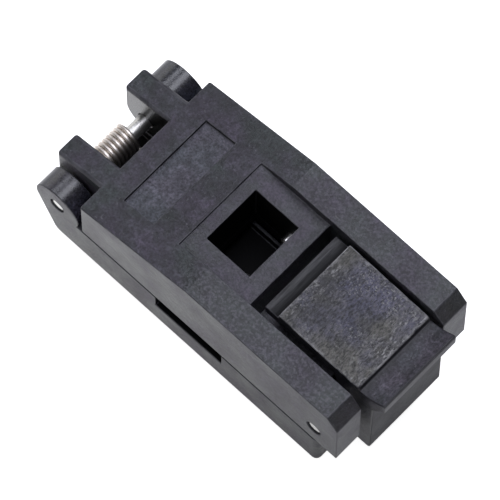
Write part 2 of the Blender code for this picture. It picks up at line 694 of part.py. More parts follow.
def contact_path(tail_y):
    """Middle line of a contact: tail, bend, arm and rounded tip, for the side where Y is positive."""
    tip = tip_radius()
    tip_z = CONTACT_TOP - CONTACT_WIDTH / 2 - tip
    arm_y = CONTACT_ROW + tip
    bend = (tip_z - ARM_LEVEL) / 3
    path = [(tail_y, -TAIL_LENGTH)]
    if tail_y < (TAIL_ROW_INNER + TAIL_ROW_OUTER) / 2:
        foot_z = SLOT_FLOOR + GAP + CONTACT_WIDTH / 2
        loop = (ARM_LEVEL - foot_z) / 2
        loop_y = slot_outer() - GAP - CONTACT_WIDTH / 2 - loop
        heel = CONTACT_WIDTH
        path += arc(tail_y + heel, foot_z - heel, heel, 180, 90, 3)
        path += arc(loop_y, foot_z + loop, loop, -90, 90, 8)
    else:
        shoulder = CONTACT_WIDTH * 2
        path += arc(tail_y - shoulder, ARM_LEVEL - shoulder, shoulder, 0, 90, 5)
    path += arc(arm_y + bend, ARM_LEVEL + bend, bend, -90, -180, 4)
    path += arc(CONTACT_ROW, tip_z, tip, 0, 180, 6)
    path += [(CONTACT_ROW - tip, tip_z - tip / 2)]
    return path


def make_contact(name, x, side, tail_y, gold):
    """One stamped contact, standing on edge in its slot."""
    outline = [(side * y, z) for y, z in ribbon(contact_path(tail_y), CONTACT_WIDTH)]
    contact = front_prism(name, outline, x - CONTACT_THICKNESS / 2, x + CONTACT_THICKNESS / 2)
    contact.data.materials.append(gold)
    return contact


def axis_empty(name, place):
    """Empty on a joint's axis, which the moving pieces hang from."""
    empty = bpy.data.objects.new(name, None)
    empty.location = place
    bpy.context.scene.collection.objects.link(empty)
    return empty


def hang(item, parent):
    """Put an object's origin on its parent's axis and parent it there."""
    place = parent.matrix_world.translation.copy()
    if item.type == "MESH" or item.type == "CURVE":
        item.data.transform(Matrix.Translation(-place))
        item.location = place
    bpy.context.view_layer.update()
    item.parent = parent
    item.matrix_parent_inverse = parent.matrix_world.inverted()
    for modifier in item.modifiers:
        if modifier.type == "BOOLEAN":
            cutter = modifier.object
            cutter.parent = parent
            cutter.matrix_parent_inverse = parent.matrix_world.inverted()


def build():
    """Make every piece and hang the moving ones on their axes."""
    clear_scene()
    black = make_material("black_moulding", (0.045, 0.045, 0.052), 0.55)
    worn_black = make_material("worn_moulding", (0.07, 0.07, 0.078), 0.6)
    steel = make_material("polished_steel", (0.75, 0.74, 0.72), 0.2, 1.0)
    spring_steel = make_material("spring_steel", (0.72, 0.66, 0.6), 0.3, 1.0)
    gold = make_material("gold_plate", (0.83, 0.62, 0.28), 0.3, 1.0)

    make_base(black)
    for side, label in ((-1, "left"), (1, "right")):
        for index, x in enumerate(contact_places()):
            make_contact(f"contact_{label}_{index + 1}", x, side, tail_row(index), gold)
    make_pin("hinge_pin", HINGE_X, HINGE_Z, steel)
    make_lid_spring(spring_steel)

    lid_axis = axis_empty("lid_axis", (HINGE_X, 0, HINGE_Z))
    latch_axis = axis_empty("latch_axis", (LATCH_PIN_X, 0, LATCH_PIN_Z))
    bpy.context.view_layer.update()
    lid_pieces = [make_lid(black), make_pusher(black), make_pin("latch_pin", LATCH_PIN_X, LATCH_PIN_Z, steel)]
    for side, label in ((-1, "left"), (1, "right")):
        lid_pieces.append(make_pusher_pin(side, label, steel))
    _, spring_rows = latch_spring_places()
    for y, label in zip(spring_rows, ("left", "right")):
        lid_pieces.append(make_latch_spring("latch_spring_" + label, y, spring_steel))
    for piece in lid_pieces:
        hang(piece, lid_axis)
    hang(make_latch(worn_black), latch_axis)
    hang(latch_axis, lid_axis)


build()
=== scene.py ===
"""Looks of the clamshell test socket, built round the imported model.

The solids are shown as copies with rounded edges, apart from the three springs, which are wound again from
rounder wire. All finishes are made of nodes. Lengths are in metres unless a comment says otherwise.
"""

import json
import math

import bmesh
import bpy
from mathutils import Matrix, Vector

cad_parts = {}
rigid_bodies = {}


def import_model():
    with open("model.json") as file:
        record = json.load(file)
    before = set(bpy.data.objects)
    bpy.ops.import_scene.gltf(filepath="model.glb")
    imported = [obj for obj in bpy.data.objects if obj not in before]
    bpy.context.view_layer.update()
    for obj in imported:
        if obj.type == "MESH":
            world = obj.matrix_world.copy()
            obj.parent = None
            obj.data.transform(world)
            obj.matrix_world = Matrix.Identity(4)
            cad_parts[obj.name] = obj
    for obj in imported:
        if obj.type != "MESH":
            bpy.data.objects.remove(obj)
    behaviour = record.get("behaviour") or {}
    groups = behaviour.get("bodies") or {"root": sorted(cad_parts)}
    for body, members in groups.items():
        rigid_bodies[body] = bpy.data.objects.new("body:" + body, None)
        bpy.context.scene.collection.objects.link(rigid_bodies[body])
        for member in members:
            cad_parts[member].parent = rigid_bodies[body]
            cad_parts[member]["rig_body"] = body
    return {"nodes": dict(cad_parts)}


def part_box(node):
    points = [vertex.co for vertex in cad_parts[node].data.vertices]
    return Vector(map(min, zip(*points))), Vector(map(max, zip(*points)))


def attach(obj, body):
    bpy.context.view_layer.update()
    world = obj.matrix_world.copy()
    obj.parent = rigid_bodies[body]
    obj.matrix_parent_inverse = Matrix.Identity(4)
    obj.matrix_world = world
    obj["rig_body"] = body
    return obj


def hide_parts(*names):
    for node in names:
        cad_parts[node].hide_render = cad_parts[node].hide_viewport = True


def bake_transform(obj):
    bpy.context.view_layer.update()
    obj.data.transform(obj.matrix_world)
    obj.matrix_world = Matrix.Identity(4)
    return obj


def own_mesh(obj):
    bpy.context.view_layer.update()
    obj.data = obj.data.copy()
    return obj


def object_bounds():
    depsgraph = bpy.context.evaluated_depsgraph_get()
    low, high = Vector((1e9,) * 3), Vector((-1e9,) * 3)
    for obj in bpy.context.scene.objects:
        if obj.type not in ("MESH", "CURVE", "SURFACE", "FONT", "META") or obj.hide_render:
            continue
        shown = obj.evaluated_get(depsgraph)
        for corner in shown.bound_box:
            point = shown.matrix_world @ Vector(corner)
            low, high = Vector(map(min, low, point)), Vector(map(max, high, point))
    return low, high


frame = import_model()
cad_low, cad_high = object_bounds()
NODES = frame["nodes"]
MM = 0.001

HINGE = Vector((-19.36, 0.0, 7.1)) * MM
TABLE_LEVEL = cad_low.z

# The pressing plate of the latch
PLATE_REAR = 8.5 * MM
PLATE_FRONT = 19.9 * MM
PLATE_NEAR = -5.1 * MM
PLATE_FAR = 5.9 * MM


# Camera, fitted to the photograph's vanishing lines

TO_CAMERA = Vector((0.24153, -0.25810, 0.93544)).normalized()
AIM = Vector((-1.04, 0.71, 6.67)) * MM
DISTANCE = 612.8 * MM
HEADING = math.radians(43.1)
ROLL = math.radians(0.42)
FOCAL_PX = 5738.0
IMAGE_PX = 500


def make_camera():
    """Long lens from above the latch end, turned so that the socket lies on the picture's diagonal."""
    level = Vector((math.cos(HEADING), math.sin(HEADING), 0.0))
    raised = TO_CAMERA.cross(level)
    right = level * math.cos(ROLL) + raised * math.sin(ROLL)
    up = raised * math.cos(ROLL) - level * math.sin(ROLL)
    data = bpy.data.cameras.new("camera")
    data.sensor_width = 36.0
    data.lens = FOCAL_PX / IMAGE_PX * data.sensor_width
    data.clip_start = 0.05
    data.clip_end = 10.0
    camera = bpy.data.objects.new("camera", data)
    turn = Matrix((right, up, TO_CAMERA)).transposed().to_4x4()
    turn.translation = AIM + TO_CAMERA * DISTANCE
    camera.matrix_world = turn
    bpy.context.scene.collection.objects.link(camera)
    bpy.context.scene.camera = camera


# Nodes


class Nodes:
    """Short way to build the nodes of a material or of the world."""

    def __init__(self, owner):
        owner.use_nodes = True
        self.tree = owner.node_tree

    def add(self, kind, **values):
        node = self.tree.nodes.new(kind)
        for key, value in values.items():
            setattr(node, key, value)
        return node

    def feed(self, socket, value):
        """Link a socket to another node's output, or set it to a number or a colour."""
        if isinstance(value, bpy.types.NodeSocket):
            self.tree.links.new(value, socket)
        elif isinstance(value, tuple):
            socket.default_value = (*value, 1.0)
        else:
            socket.default_value = value

    def math(self, operation, *values):
        node = self.add("ShaderNodeMath", operation=operation)
        for socket, value in zip(node.inputs, values):
            self.feed(socket, value)
        return node.outputs[0]

    def opposite(self, value):
        """1 where the value is 0, and 0 where it is 1."""
        return self.math("SUBTRACT", 1.0, value)

    def mix(self, factor, a, b, mode="MIX"):
        node = self.add("ShaderNodeMix", data_type="RGBA", blend_type=mode)
        for socket, value in ((node.inputs[0], factor), (node.inputs[6], a), (node.inputs[7], b)):
            self.feed(socket, value)
        return node.outputs[2]

    def product(self, a, b):
        """Two colours multiplied."""
        return self.mix(1.0, a, b, "MULTIPLY")

    def ramp(self, source, stops):
        """Greys at places on a ramp, in rising order."""
        node = self.add("ShaderNodeValToRGB")
        elements = node.color_ramp.elements
        while len(elements) < len(stops):
            elements.new(0.5)
        for element, (position, level) in zip(elements, stops):
            element.position = position
            element.color = (level, level, level, 1.0)
        self.feed(node.inputs["Fac"], source)
        return node.outputs["Color"]

    def rise(self, source, start, end, low=0.0, high=1.0):
        """Low where the source is under the start, and high where it is over the end."""
        return self.ramp(source, ((start, low), (end, high)))

    def spread(self, source, low, high):
        """A value between two limits, following a source between 0 and 1."""
        node = self.add("ShaderNodeMapRange")
        node.inputs["To Min"].default_value = low
        node.inputs["To Max"].default_value = high
        self.feed(node.inputs["Value"], source)
        return node.outputs["Result"]

    def seen_directly(self, path):
        """1 for what the camera sees itself or through something clear, 0 for reflections and light."""
        return self.math("MAXIMUM", path.outputs["Is Camera Ray"], path.outputs["Is Transmission Ray"])


class Finish(Nodes):
    """The nodes of one surface. Its patterns are laid out in the piece's own coordinates."""

    SOCKETS = {
        "colour": "Base Color",
        "roughness": "Roughness",
        "metallic": "Metallic",
        "normal": "Normal",
        "specular": "Specular IOR Level",
        "glow_colour": "Emission Color",
        "glow": "Emission Strength",
    }

    def __init__(self, name):
        self.material = bpy.data.materials.new(name)
        super().__init__(self.material)
        self.shader = self.tree.nodes["Principled BSDF"]
        self.place = self.add("ShaderNodeTexCoord").outputs["Object"]

    def placed(self, move=(0, 0, 0), turn=(0, 0, 0), stretch=(1, 1, 1)):
        """The piece's coordinates, moved, turned and stretched."""
        node = self.add("ShaderNodeMapping")
        node.inputs["Location"].default_value = move
        node.inputs["Rotation"].default_value = turn
        node.inputs["Scale"].default_value = stretch
        self.feed(node.inputs["Vector"], self.place)
        return node.outputs["Vector"]

    def noise(self, scale, detail, rough, place=None):
        node = self.add("ShaderNodeTexNoise")
        node.inputs["Scale"].default_value = scale
        node.inputs["Detail"].default_value = detail
        node.inputs["Roughness"].default_value = rough
        self.feed(node.inputs["Vector"], place or self.place)
        return node.outputs["Fac"]

    def past(self, axis, edge, soft=0.4 * MM):
        """1 where an axis is past an edge, 0 before it, with a soft border."""
        split = self.add("ShaderNodeSeparateXYZ")
        self.feed(split.inputs["Vector"], self.place)
        node = self.add("ShaderNodeMapRange", interpolation_type="SMOOTHSTEP")
        node.inputs["From Min"].default_value = edge - soft
        node.inputs["From Max"].default_value = edge + soft
        self.feed(node.inputs["Value"], split.outputs[axis])
        return node.outputs["Result"]

    def before(self, axis, edge, soft=0.4 * MM):
        """1 where an axis is before an edge, 0 past it, with a soft border."""
        return self.opposite(self.past(axis, edge, soft))

    def bump(self, height, strength, depth):
        node = self.add("ShaderNodeBump")
        node.inputs["Strength"].default_value = strength
        node.inputs["Distance"].default_value = depth
        self.feed(node.inputs["Height"], height)
        return node.outputs["Normal"]

    def set(self, **values):
        for key, value in values.items():
            self.feed(self.shader.inputs[self.SOCKETS[key]], value)
        return self.material


# Noise patterns: cells per metre, detail and roughness

CLOUD = (230, 4, 0.6)
SLOW_SHADE = (330, 3, 0.55)
BLOTCH = (1300, 4, 0.6)
FLECK = (1900, 2, 0.7)
GRAIN = (3600, 4, 0.65)
SOFT_GRAIN = (3600, 3, 0.6)
FINE_GRAIN = (9500, 2, 0.6)
SCUFF = (2600, 4, 0.7)
RUB = (520, 6, 0.7)
EDGE_RUB = (480, 5, 0.7)
PLATE_CLOUD = (150, 4, 0.6)
PLATE_SHADE = (210, 3, 0.6)
PLATE_WEAR = (280, 4, 0.6)
PLATE_SPECK = (4200, 4, 0.75)
STROKE_BREAK = (620, 3, 0.6)
RIM_RUB = (1100, 4, 0.7)

# Detail and roughness of the patterns that are stretched, and their cells per metre along X, Y and Z. Those
# on the latch plate run a little askew.

PLATE_TURN = (0, 0, 0.12)
PITS = (6, 0.75)
PITS_STRETCH = (4000, 1700, 2600)
STROKES = (3, 0.6)
STROKES_STRETCH = (3800, 1300, 1300)
STREAKS = (4, 0.65)
STREAKS_STRETCH = (3400, 260, 900)
DRAWN = (3, 0.6)
DRAWN_ALONG_Y = (3000, 300, 3000)
DRAWN_ALONG_XY = (900, 900, 4000)
DRAWN_EVENLY = (900, 900, 900)

# Share of the finest grain and of the blotches in the relief of a moulding

FINE_RELIEF = 0.5
BLOTCH_RELIEF = 1.2

# The darkest tone of the inside plastic, which is painted near black as shade, as a share of its lightest

INSIDE_SHADE_DIP = 0.6

# Colours of marks on the plastic, and the black of painted shade

FLECK_GREY = (0.17, 0.17, 0.18)
SCUFF_GREY = (0.146, 0.142, 0.165)
RUB_GREY = (0.13, 0.128, 0.135)
SPECK_GREY = (0.32, 0.316, 0.31)
STROKE_GREY = (0.38, 0.376, 0.38)
PAINTED_SHADE_BLACK = (0.002, 0.002, 0.002)


# Plastics


def moulding(name, cold, warm, rough=(0.34, 0.50), fleck=0.30, worn=0.0, shift=0.0, relief=0.8,
             gloss=0.5, wear_and_shade=None, wear_and_shade_tones=(), scuffed=0.0):
    """Black moulded plastic: grain, blotches, slow clouding between two blacks, flecks and a little wear.

    The shift moves the pattern, so that no two mouldings have the same. The wear-and-shade mask says where
    hands rub the plastic, and on the lip where shade is painted in its corner: the tones follow it, and so
    do fine pale scuffs.
    """
    nodes = Finish(name)
    wear_and_shade_mask = wear_and_shade(nodes) if wear_and_shade else None
    nodes.place = nodes.placed(move=(shift, shift, shift))
    cloud = nodes.rise(nodes.noise(*CLOUD), start=0.38, end=0.62)
    grain = nodes.noise(*GRAIN)
    blotch = nodes.noise(*BLOTCH)
    colour = nodes.mix(cloud, cold, warm)
    colour = nodes.product(colour, nodes.rise(grain, start=0.32, end=0.68, low=0.40, high=1.75))
    colour = nodes.product(colour, nodes.rise(blotch, start=0.36, end=0.64, low=0.68, high=1.36))
    slow = nodes.rise(nodes.noise(*SLOW_SHADE), start=0.36, end=0.64, low=0.75, high=1.27)
    colour = nodes.product(colour, slow)
    flecks = nodes.rise(nodes.noise(*FLECK), start=0.665, end=0.71, high=fleck)
    colour = nodes.mix(flecks, colour, FLECK_GREY)
    if wear_and_shade_mask is not None:
        colour = nodes.product(colour, nodes.ramp(wear_and_shade_mask, wear_and_shade_tones))
        scuffs = nodes.rise(nodes.noise(*SCUFF), start=0.49, end=0.62, high=scuffed)
        colour = nodes.mix(nodes.math("MULTIPLY", wear_and_shade_mask, scuffs), colour, SCUFF_GREY)
    if worn:
        rub = nodes.rise(nodes.noise(*RUB), start=0.50, end=0.68, high=worn)
        colour = nodes.mix(rub, colour, RUB_GREY)
    fine = nodes.math("MULTIPLY", nodes.noise(*FINE_GRAIN), FINE_RELIEF)
    coarse = nodes.math("MULTIPLY", blotch, BLOTCH_RELIEF)
    height = nodes.math("ADD", nodes.math("ADD", grain, fine), coarse)
    normal = nodes.bump(height, strength=relief, depth=0.07 * MM)
    roughness = nodes.spread(nodes.mix(0.5, blotch, cloud), *rough)
    return nodes.set(colour=colour, roughness=roughness, specular=gloss, normal=normal)


def inside_shade_plastic(name, colour):
    """Plastic deep inside, painted near black as shade and duller than the outside."""
    nodes = Finish(name)
    grain = nodes.noise(*SOFT_GRAIN)
    darker = tuple(INSIDE_SHADE_DIP * channel for channel in colour)
    tone = nodes.mix(grain, darker, colour)
    roughness = nodes.spread(grain, low=0.55, high=0.7)
    normal = nodes.bump(grain, strength=0.4, depth=0.03 * MM)
    return nodes.set(colour=tone, roughness=roughness, specular=0.10, normal=normal)


def lug_plastic(name):
    """The lugs' faces beside the lid spring, painted black as shade behind the hinge pin, where they are
    closed in.
    """
    nodes = Finish(name)
    grain = nodes.noise(*GRAIN)
    # Painted shade: the lugs' faces turn black behind the hinge pin
    inner = nodes.past("X", edge=HINGE.x - 0.1 * MM, soft=0.7 * MM)
    outer_tone = nodes.mix(grain, (0.030, 0.030, 0.034), (0.055, 0.055, 0.060))
    colour = nodes.mix(inner, outer_tone, PAINTED_SHADE_BLACK)
    roughness = nodes.spread(inner, low=0.34, high=0.30)
    normal = nodes.bump(grain, strength=0.6, depth=0.06 * MM)
    return nodes.set(colour=colour, roughness=roughness, normal=normal)


def rubbed_edge(name, dark, light, where=None):
    """Plastic on the rounded edges, rubbed paler in places. The wear keeps to where the mask allows."""
    nodes = Finish(name)
    rub = nodes.rise(nodes.noise(*EDGE_RUB), start=0.40, end=0.60)
    if where:
        rub = nodes.product(rub, where(nodes))
    colour = nodes.mix(rub, dark, light)
    normal = nodes.bump(nodes.noise(*SOFT_GRAIN), strength=0.4, depth=0.04 * MM)
    return nodes.set(colour=colour, roughness=0.46, normal=normal)


def lid_handling(nodes):
    """0 on the lid's slope, a half in its recesses and 1 on its near arm. Hands rub the far arm less."""
    far = nodes.past("Y", edge=1.0 * MM, soft=6.0 * MM)
    front = nodes.past("X", edge=-2.5 * MM, soft=3.0 * MM)
    front = nodes.math("MULTIPLY", front, nodes.spread(far, low=1.0, high=0.7))
    top = nodes.math("MULTIPLY", front, nodes.past("Z", edge=15.9 * MM, soft=0.3 * MM))
    return nodes.math("MULTIPLY", nodes.math("ADD", front, top), 0.5)


def lip_wear_and_shade(nodes):
    """0 in the corner between plate and lip, where shade is painted, and 1 at the lip's front edge."""
    return nodes.past("X", edge=PLATE_FRONT + 0.8 * MM, soft=0.9 * MM)


def outer_lid(nodes):
    """The lid's outside: all that is high up, and its sloped rear half down to the hinge pin."""
    rear = nodes.math("MULTIPLY", nodes.before("X", edge=-3.6 * MM), nodes.past("Z", edge=8.0 * MM))
    return nodes.math("MAXIMUM", rear, nodes.past("Z", edge=14.4 * MM))


def worn_latch(nodes):
    """The latch where fingers press it: the edges of its plate."""
    high = nodes.past("Z", edge=12.5 * MM, soft=0.8 * MM)
    plate = nodes.math("MULTIPLY", nodes.past("X", edge=PLATE_REAR - 0.2 * MM, soft=0.1 * MM), high)
    return nodes.math("MULTIPLY", plate, nodes.before("X", edge=PLATE_FRONT + 0.1 * MM, soft=0.1 * MM))


RIM = 0.30 * MM
FRONT_BAND = 2.0 * MM
REAR_BAND = 1.0 * MM


def plate_rim(nodes):
    """1 in a narrow band inside the edges of the latch plate."""
    front = nodes.past("X", edge=PLATE_FRONT - RIM)
    rear = nodes.before("X", edge=PLATE_REAR + RIM)
    far = nodes.past("Y", edge=PLATE_FAR - RIM)
    near = nodes.before("Y", edge=PLATE_NEAR + RIM)
    return nodes.math("MAXIMUM", nodes.math("MAXIMUM", front, rear), nodes.math("MAXIMUM", far, near))


def plate_ends(nodes):
    """1 at the front and the rear edge of the latch plate, fading to 0 towards its middle."""
    front = nodes.past("X", edge=PLATE_FRONT - FRONT_BAND, soft=FRONT_BAND)
    rear = nodes.before("X", edge=PLATE_REAR + REAR_BAND, soft=REAR_BAND)
    return nodes.math("MAXIMUM", front, rear)


def scuffed_plate(name):
    """Latch plate: rubbed grey, with specks in patches, strokes across its ends and a broken pale rim."""
    nodes = Finish(name)
    cloud = nodes.rise(nodes.noise(*PLATE_CLOUD), start=0.40, end=0.60)
    colour = nodes.mix(cloud, (0.062, 0.060, 0.054), (0.052, 0.051, 0.078))
    pits = nodes.noise(1.0, *PITS, nodes.placed(turn=PLATE_TURN, stretch=PITS_STRETCH))
    colour = nodes.product(colour, nodes.rise(pits, start=0.39, end=0.61, low=0.15, high=1.95))
    shade = nodes.rise(nodes.noise(*PLATE_SHADE), start=0.38, end=0.62, low=0.62, high=1.40)
    colour = nodes.product(colour, shade)
    patches = nodes.rise(nodes.noise(*PLATE_WEAR), start=0.42, end=0.58, low=0.15)
    specks = nodes.rise(nodes.noise(*PLATE_SPECK), start=0.54, end=0.64, high=0.95)
    colour = nodes.mix(nodes.product(specks, patches), colour, SPECK_GREY)
    strokes = nodes.noise(1.0, *STROKES, nodes.placed(turn=PLATE_TURN, stretch=STROKES_STRETCH))
    strokes = nodes.rise(strokes, start=0.54, end=0.66, high=0.95)
    strokes = nodes.math("MULTIPLY", strokes, nodes.spread(plate_ends(nodes), low=0.25, high=1.0))
    unbroken = nodes.rise(nodes.noise(*STROKE_BREAK), start=0.42, end=0.58)
    colour = nodes.mix(nodes.product(strokes, unbroken), colour, STROKE_GREY)
    rubbed = nodes.rise(nodes.noise(*RIM_RUB), start=0.48, end=0.62, high=0.7)
    colour = nodes.mix(nodes.math("MULTIPLY", plate_rim(nodes), rubbed), colour, STROKE_GREY)
    roughness = nodes.spread(pits, low=0.46, high=0.66)
    normal = nodes.bump(pits, strength=0.9, depth=0.08 * MM)
    return nodes.set(colour=colour, roughness=roughness, normal=normal)


def streaked_ledge(name):
    """Ledge behind the latch plate: streaks across the socket, and painted shade fading to black towards the
    plate.
    """
    nodes = Finish(name)
    streaks = nodes.noise(1.0, *STREAKS, nodes.placed(stretch=STREAKS_STRETCH))
    pale = nodes.rise(streaks, start=0.36, end=0.64)
    colour = nodes.mix(pale, (0.010, 0.010, 0.012), (0.075, 0.075, 0.080))
    # Painted shade: black by the step up to the plate
    clear = nodes.before("X", edge=7.6 * MM, soft=0.7 * MM)
    colour = nodes.mix(clear, (0.004, 0.004, 0.005), colour)
    roughness = nodes.spread(clear, low=0.8, high=0.5)
    normal = nodes.bump(streaks, strength=0.9, depth=0.08 * MM)
    return nodes.set(colour=colour, roughness=roughness, specular=0.3, normal=normal)


# Metals


def spring_painted_shade(nodes):
    """1 on the side of the lid spring that is shut in between the lugs, where shade is painted on the wire.
    """
    return nodes.past("X", edge=HINGE.x + 0.8 * MM, soft=0.7 * MM)


def metal(name, colour, tint, rough, drawn, painted_shade_mask=None):
    """Bare metal with fine drawing marks, darkened as painted shade where the shade mask is 1."""
    nodes = Finish(name)
    marks = nodes.noise(1.0, *DRAWN, nodes.placed(stretch=drawn))
    tone = nodes.mix(marks, colour, tint)
    if painted_shade_mask:
        # Painted shade: the tone darkens where the mask is 1
        tone = nodes.product(tone, nodes.rise(painted_shade_mask(nodes), start=0.0, end=1.0, low=1.0, high=0.30))
    normal = nodes.bump(marks, strength=0.15, depth=0.01 * MM)
    return nodes.set(colour=tone, metallic=1.0, roughness=nodes.spread(marks, *rough), normal=normal)


# Finishes of the socket

COLD_BLACK = (0.018, 0.022, 0.023)
WARM_BLACK = (0.034, 0.028, 0.042)

LID_BLACK = moulding(
    "lid_plastic", COLD_BLACK, WARM_BLACK, rough=(0.30, 0.54), wear_and_shade=lid_handling,
    wear_and_shade_tones=((0.0, 1.14), (0.5, 1.15), (1.0, 1.1)), scuffed=0.5,
)
LABEL_BLACK = moulding("label_plastic", (0.052, 0.056, 0.068), (0.064, 0.059, 0.077), shift=0.17)
INNER_SHADE_BLACK = inside_shade_plastic("inner_painted_shade", (0.0035, 0.0035, 0.0042))
# Painted shade: a darker copy of the plastic for the lid's underside and the base's top under it
UNDER_SHADE_BLACK = moulding(
    "covered_painted_shade", (0.015, 0.016, 0.020), (0.021, 0.019, 0.025), rough=(0.44, 0.60), fleck=0.1,
    shift=0.77,
)
LUG_BLACK = lug_plastic("lug_plastic")
# Painted shade: a darker copy of the lid plastic for the arms' bevelled front ends
CHAMFER_SHADE_BLACK = moulding(
    "chamfer_painted_shade", (0.010, 0.011, 0.014), (0.015, 0.013, 0.018), rough=(0.36, 0.52), shift=0.23,
)
LID_EDGE = rubbed_edge("lid_plastic_edges", (0.024, 0.023, 0.030), (0.085, 0.084, 0.095), outer_lid)
BASE_BLACK = moulding(
    "base_plastic", COLD_BLACK, WARM_BLACK, rough=(0.32, 0.58), shift=0.31, gloss=0.4,
)
EAR_BLACK = moulding(
    "ear_plastic", (0.014, 0.016, 0.022), (0.020, 0.018, 0.026), rough=(0.20, 0.30), fleck=0.12,
    shift=0.41, relief=0.2, gloss=0.7,
)
BASE_EDGE = rubbed_edge("base_plastic_edges", (0.022, 0.022, 0.028), (0.060, 0.060, 0.068))
PUSHER_SHADE_BLACK = inside_shade_plastic("pusher_painted_shade", (0.008, 0.008, 0.010))
LATCH_BLACK = moulding(
    "latch_plastic", (0.030, 0.032, 0.038), (0.040, 0.036, 0.046), rough=(0.42, 0.58), worn=0.35,
    shift=0.53,
)
PLATE_GREY = scuffed_plate("plate_plastic")
LEDGE_BLACK = streaked_ledge("ledge_plastic")
# The lip's tones paint shade in its corner by the plate, and make it paler towards its front edge
LIP_BLACK = moulding(
    "lip_plastic", (0.018, 0.020, 0.023), (0.027, 0.024, 0.031), rough=(0.40, 0.56), shift=0.59,
    wear_and_shade=lip_wear_and_shade, wear_and_shade_tones=((0.0, 0.25), (1.0, 2.2)), scuffed=0.1,
)
# Painted shade: a darker copy of the latch plastic for the leg under the lip
LEG_SHADE_BLACK = moulding(
    "leg_painted_shade", (0.012, 0.013, 0.016), (0.018, 0.016, 0.021), rough=(0.56, 0.72), fleck=0.15,
    shift=0.67,
)
LATCH_EDGE = rubbed_edge("latch_plastic_edges", (0.026, 0.025, 0.030), (0.33, 0.325, 0.33), worn_latch)
STEEL = metal(
    "ground_steel", (0.82, 0.81, 0.78), (0.66, 0.65, 0.62), rough=(0.34, 0.48), drawn=DRAWN_ALONG_Y,
)
BRIGHT_STEEL = metal(
    "bright_steel", (0.97, 0.96, 0.94), (0.88, 0.87, 0.85), rough=(0.22, 0.34), drawn=DRAWN_ALONG_Y,
)
# Painted shade on the lid spring's side that is shut in between the lugs
LID_SPRING = metal(
    "lid_spring_wire", (0.92, 0.86, 0.80), (0.78, 0.71, 0.64), rough=(0.38, 0.50), drawn=DRAWN_EVENLY,
    painted_shade_mask=spring_painted_shade,
)
LATCH_SPRING = metal(
    "latch_spring_wire", (0.86, 0.79, 0.72), (0.68, 0.60, 0.53), rough=(0.34, 0.46), drawn=DRAWN_EVENLY,
)
GOLD = metal(
    "gold_strip", (0.86, 0.63, 0.28), (0.74, 0.52, 0.2), rough=(0.22, 0.36), drawn=DRAWN_ALONG_XY,
)


# Pieces

# Corners nearer than WELD become one, and an edge that turns by less than FLAT goes
WELD = 0.002 * MM
FLAT = math.radians(0.6)

# The lid's edges with a larger radius. None of them has more of Y in its direction than ACROSS.
LUG_SOFTNESS = 0.42 * MM
REAR_SOFTNESS = 0.30 * MM
ACROSS = 0.5
LUG_EDGES_FRONT = -16.1 * MM
HINGE_HOLE_REACH = 2.0 * MM
LID_REAR = -15.8 * MM
LID_REAR_TOLERANCE = 0.1 * MM
LID_CORNER = 9.8 * MM


def lug_edge(middle, along):
    """Larger radius of the edges down both sides of the rear lugs, and of the lid's upright rear corners."""
    if abs(along.y) > ACROSS:
        return 0.0
    if middle.x < LUG_EDGES_FRONT and (middle - HINGE).xz.length > HINGE_HOLE_REACH:
        return LUG_SOFTNESS
    if abs(middle.x - LID_REAR) < LID_REAR_TOLERANCE and abs(middle.y) > LID_CORNER:
        return REAR_SOFTNESS
    return 0.0


def dressed_copy(node, name, cover, zones=(), edges=None, *, width, softer=None, segments=3, sharp=35.0):
    """Copy of a CAD node with rounded edges.

    The cover is the material of all faces outside the zones. Each zone is a material and a test of a face's
    middle, in millimetres, and its normal. Where two zones claim a face, the later one has it. The edges
    get a material of their own where one is given, and the softer function gives some of them a larger
    radius than the width. An edge is rounded where it turns by more than the sharp angle, in degrees.
    """
    source = NODES[node]
    bm = bmesh.new()
    bm.from_mesh(source.data)
    bmesh.ops.remove_doubles(bm, verts=bm.verts, dist=WELD)
    bmesh.ops.dissolve_limit(bm, angle_limit=FLAT, verts=bm.verts, edges=bm.edges)
    largest = max(width, LUG_SOFTNESS) if softer else width
    weight = bm.edges.layers.float.new("bevel_weight_edge")
    for edge in bm.edges:
        a, b = edge.verts
        if not edge.is_manifold or edge.calc_face_angle(0.0) < math.radians(sharp):
            continue
        radius = softer((a.co + b.co) / 2, (b.co - a.co).normalized()) if softer else 0.0
        edge[weight] = (radius or width) / largest
    for face in bm.faces:
        face.smooth = True
        middle = face.calc_center_median()
        for number, (_, test) in enumerate(zones, start=1):
            if test(middle / MM, face.normal):
                face.material_index = number
    mesh = bpy.data.meshes.new(name)
    bm.to_mesh(mesh)
    bm.free()
    piece = bpy.data.objects.new(name, mesh)
    bpy.context.scene.collection.objects.link(piece)
    mesh.materials.append(cover)
    for material, _ in zones:
        mesh.materials.append(material)
    if edges:
        mesh.materials.append(edges)
    mesh.set_sharp_from_angle(angle=math.radians(sharp))
    bevel = piece.modifiers.new("soft_edges", "BEVEL")
    bevel.width = largest
    bevel.segments = segments
    bevel.limit_method = "WEIGHT"
    bevel.harden_normals = True
    bevel.use_clamp_overlap = False
    bevel.material = len(mesh.materials) - 1
    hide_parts(node)
    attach(piece, source["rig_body"])
    return piece


